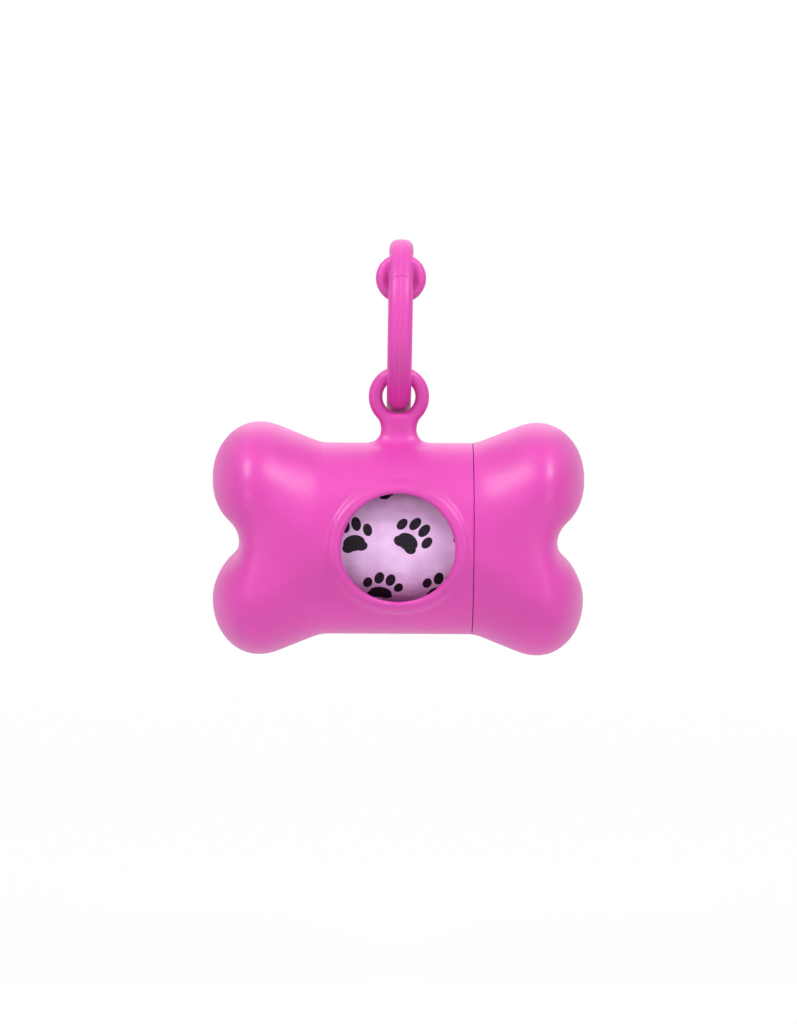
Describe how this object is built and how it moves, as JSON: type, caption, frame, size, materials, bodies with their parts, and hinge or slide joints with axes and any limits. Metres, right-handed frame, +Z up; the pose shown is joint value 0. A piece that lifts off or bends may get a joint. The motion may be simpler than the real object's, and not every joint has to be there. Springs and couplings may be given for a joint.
{
  "type": "dog waste bag dispenser",
  "caption": "Bone-shaped case for a roll of dog waste bags, with a round dispensing hole, a screw-off end cap and an open hoop hook that snaps shut.",
  "frame": {"origin": "the lead's seat: the middle of the hoop's inner face at its top, where the loop of a lead carries the hook", "axes": "+X along the bone towards its cap, +Y away from the dispensing hole towards the back, +Z up"},
  "size_m": [0.0822, 0.0527, 0.0918],
  "materials": {
    "case_pink": "soft-touch matte",
    "hook_pink": "soft-touch matte",
    "fitting_pink": "moulded matte",
    "seal_rubber": "matte",
    "bag_film": "thin satin film",
    "core_card": "plain card"
  },
  "bodies": {
    "hook": {"hook_ring": "hook_pink"},
    "gate": {"hook_gate": "hook_pink"},
    "case": {"front_shell": "case_pink", "rear_shell": "case_pink", "mouth_ring": "fitting_pink"},
    "seal": {"seal_ring": "seal_rubber"},
    "cap": {"cap_front_shell": "case_pink", "cap_rear_shell": "case_pink", "cap_collar": "fitting_pink"},
    "roll": {"bag_roll": "bag_film", "roll_core": "core_card"}
  },
  "joints": [
    {"name": "gate_open", "type": "hinge", "parent": "hook", "child": "gate", "pos_m": [0, 0.01394, -0.0047], "axis": [1, 0, 0], "range_deg": [0, 20], "stiffness_Nm_per_rad": 0.08},
    {"name": "dispenser_swing", "type": "hinge", "parent": "hook", "child": "case", "pos_m": [0, -0.01055, -0.03092], "axis": [0, 1, 0], "range_deg": [-85, 85]},
    {"name": "cap_travel", "type": "slide", "parent": "case", "child": "seal", "axis": [1, 0, 0], "range_m": [0, 0.00601]},
    {"name": "cap_twist", "type": "hinge", "parent": "seal", "child": "cap", "pos_m": [0, -0.01055, -0.06242], "axis": [1, 0, 0], "range_deg": [0, 360]},
    {"name": "roll_spin", "type": "hinge", "parent": "case", "child": "roll", "pos_m": [0, -0.01055, -0.06242], "axis": [1, 0, 0], "continuous": true}
  ],
  "couplings": [
    {"joint": "cap_travel", "follows": "cap_twist", "m_per_rad": 0.00095493}
  ]
}
